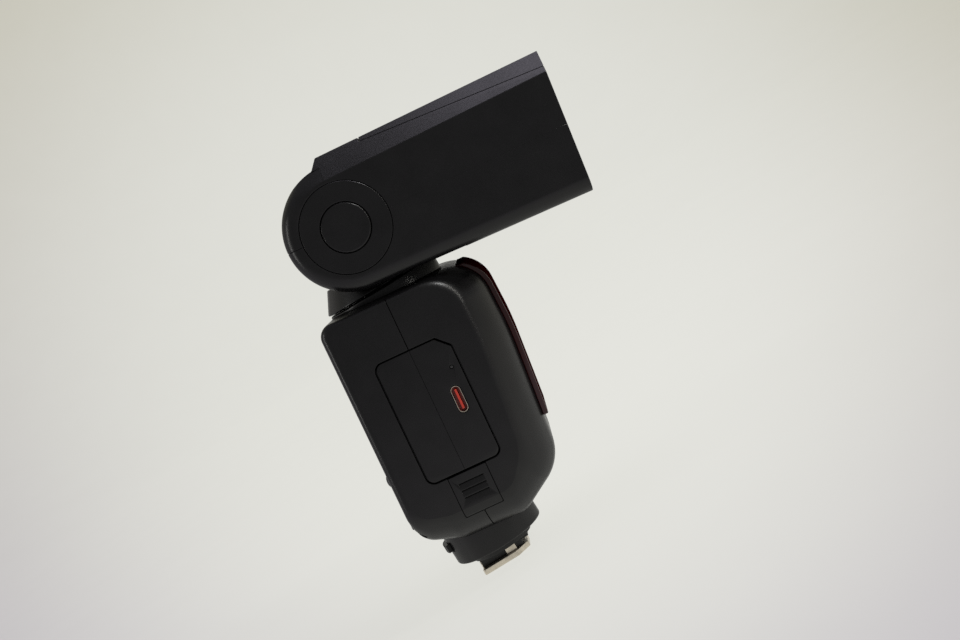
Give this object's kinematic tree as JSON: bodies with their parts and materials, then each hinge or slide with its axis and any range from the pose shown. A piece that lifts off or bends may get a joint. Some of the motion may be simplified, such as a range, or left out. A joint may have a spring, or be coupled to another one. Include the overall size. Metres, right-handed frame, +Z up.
{
  "type": "speedlight flash",
  "caption": "Hot-shoe speedlight flash with tilting and swivelling zoom head, side-loading battery pack, rear controls and a locking shoe foot.",
  "frame": {"origin": "centre of the shoe foot's underside", "axes": "+Z up along the foot's normal, +X towards the subject, +Y to the viewer's left"},
  "size_m": [0.1158, 0.076, 0.1491],
  "materials": {
    "shell": "fine matt texture",
    "trim": "satin",
    "button": "soft matt",
    "red_window": "polished, dark red",
    "clear": "clear",
    "display_glass": "polished",
    "lens": "ribbed clear plastic",
    "white": "matt",
    "nickel": "brushed",
    "steel": "brushed",
    "brass": "plated",
    "mirror": "polished",
    "board": "circuit board",
    "can": "sleeved",
    "cell": "sleeved",
    "usb_red": "satin",
    "lamp": "frosted"
  },
  "bodies": {
    "casing": {"rear_housing": "shell", "front_housing": "shell", "casing_screws": "steel", "front_window": "red_window", "assist_lamp": "lamp", "display_window": "display_glass", "display_module": "white", "main_board": "board", "power_board": "board", "capacitors": "can", "battery_bay": "trim", "battery_contacts": "brass", "side_sockets": "trim", "foot_collar": "trim", "shoe_block": "trim", "shoe_plate": "nickel", "swivel_collar": "shell"},
    "battery": {"battery_door": "shell", "battery_case": "trim", "battery_cells": "cell", "usb_shell": "nickel", "usb_tongue": "usb_red", "charge_lamp": "lamp"},
    "latch": {"battery_latch": "shell"},
    "lever": {"lock_lever": "trim"},
    "lock_pin_body": {"lock_pin": "steel"},
    "contacts": {"contact_pins": "brass"},
    "cover": {"port_cover": "button"},
    "switch": {"power_switch": "trim"},
    "dial": {"control_dial": "trim"},
    "set_key": {"set_button": "button"},
    "function_key_1": {"function_button_1": "button"},
    "function_key_2": {"function_button_2": "button"},
    "function_key_3": {"function_button_3": "button"},
    "function_key_4": {"function_button_4": "button"},
    "mode_key": {"mode_button": "button"},
    "menu_key": {"menu_button": "button"},
    "test_key": {"test_button": "red_window"},
    "neck": {"swivel_base": "shell", "yoke": "shell", "swivel_plate": "steel", "tilt_axle": "steel"},
    "head": {"head_upper_shell": "shell", "head_lower_shell": "shell", "head_top_cover": "shell", "head_screws": "steel", "right_cap": "shell", "left_cap": "shell", "fresnel_lens": "lens", "lens_bezel": "trim", "guide_rods": "steel", "zoom_motor": "steel", "trigger_board": "board"},
    "head_lock": {"lock_button": "shell"},
    "zoom": {"zoom_carriage": "trim", "reflector": "mirror", "flash_tube": "lamp"},
    "zoom_drive": {"lead_screw": "steel"},
    "diffuser": {"wide_panel": "clear"},
    "card": {"bounce_card": "white"}
  },
  "joints": [
    {"name": "swivel", "type": "hinge", "parent": "casing", "child": "neck", "pos_m": [0.013, 0, 0.1025], "axis": [0, 0, 1], "range_deg": [-150, 180]},
    {"name": "tilt", "type": "hinge", "parent": "neck", "child": "head", "pos_m": [0.01675, 0, 0.1245], "axis": [0, -1, 0], "range_deg": [0, 97]},
    {"name": "lock_push", "type": "slide", "parent": "head", "child": "head_lock", "axis": [0, 1, 0], "range_m": [0, 0.0015], "stiffness_N_per_m": 400},
    {"name": "zoom_travel", "type": "slide", "parent": "head", "child": "zoom", "axis": [0.9925, 0, -0.1219], "range_m": [0, 0.022]},
    {"name": "lead_screw_turn", "type": "hinge", "parent": "head", "child": "zoom_drive", "pos_m": [0.04106, 0.0255, 0.13209], "axis": [0.9925, 0, -0.1219], "range_deg": [0, 1981]},
    {"name": "wide_panel_slide", "type": "slide", "parent": "head", "child": "diffuser", "axis": [0.9925, 0, -0.1219], "range_m": [0, 0.045]},
    {"name": "bounce_card_slide", "type": "slide", "parent": "head", "child": "card", "axis": [0.9925, 0, -0.1219], "range_m": [0, 0.045]},
    {"name": "battery_slide", "type": "slide", "parent": "casing", "child": "battery", "axis": [0, -1, 0], "range_m": [0, 0.07]},
    {"name": "latch_slide", "type": "slide", "parent": "casing", "child": "latch", "axis": [-0.0609, 0.866, -0.4963], "range_m": [0, 0.0022], "stiffness_N_per_m": 400},
    {"name": "lock_lever_turn", "type": "hinge", "parent": "casing", "child": "lever", "pos_m": [0.0008, 0, 0.014], "axis": [0, 0, -1], "range_deg": [0, 60]},
    {"name": "lock_pin_drop", "type": "slide", "parent": "casing", "child": "lock_pin_body", "axis": [0, 0, -1], "range_m": [0, 0.0014]},
    {"name": "contact_press", "type": "slide", "parent": "casing", "child": "contacts", "axis": [0, 0, 1], "range_m": [0, 0.0007], "stiffness_N_per_m": 300},
    {"name": "port_cover_open", "type": "hinge", "parent": "casing", "child": "cover", "pos_m": [0.02636, 0.03575, 0.06326], "axis": [0.1219, 0, 0.9925], "range_deg": [0, 100]},
    {"name": "power_switch_slide", "type": "slide", "parent": "casing", "child": "switch", "axis": [0, 1, 0], "range_m": [0, 0.004]},
    {"name": "dial_turn", "type": "hinge", "parent": "casing", "child": "dial", "pos_m": [-0.01527, 0, 0.03976], "axis": [0.9925, 0, -0.1219], "continuous": true},
    {"name": "set_press", "type": "slide", "parent": "casing", "child": "set_key", "axis": [0.9925, 0, -0.1219], "range_m": [0, 0.0008], "stiffness_N_per_m": 400},
    {"name": "function_press_1", "type": "slide", "parent": "casing", "child": "function_key_1", "axis": [0.9925, 0, -0.1219], "range_m": [0, 0.0008], "stiffness_N_per_m": 400},
    {"name": "function_press_2", "type": "slide", "parent": "casing", "child": "function_key_2", "axis": [0.9925, 0, -0.1219], "range_m": [0, 0.0008], "stiffness_N_per_m": 400},
    {"name": "function_press_3", "type": "slide", "parent": "casing", "child": "function_key_3", "axis": [0.9925, 0, -0.1219], "range_m": [0, 0.0008], "stiffness_N_per_m": 400},
    {"name": "function_press_4", "type": "slide", "parent": "casing", "child": "function_key_4", "axis": [0.9925, 0, -0.1219], "range_m": [0, 0.0008], "stiffness_N_per_m": 400},
    {"name": "mode_press", "type": "slide", "parent": "casing", "child": "mode_key", "axis": [0.9925, 0, -0.1219], "range_m": [0, 0.0008], "stiffness_N_per_m": 400},
    {"name": "menu_press", "type": "slide", "parent": "casing", "child": "menu_key", "axis": [0.9925, 0, -0.1219], "range_m": [0, 0.0008], "stiffness_N_per_m": 400},
    {"name": "test_press", "type": "slide", "parent": "casing", "child": "test_key", "axis": [0.9925, 0, -0.1219], "range_m": [0, 0.0008], "stiffness_N_per_m": 400}
  ],
  "couplings": [
    {"joint": "lead_screw_turn", "follows": "zoom_travel", "rad_per_m": 1570.8},
    {"joint": "lock_pin_drop", "follows": "lock_lever_turn", "m_per_rad": 0.001336}
  ]
}
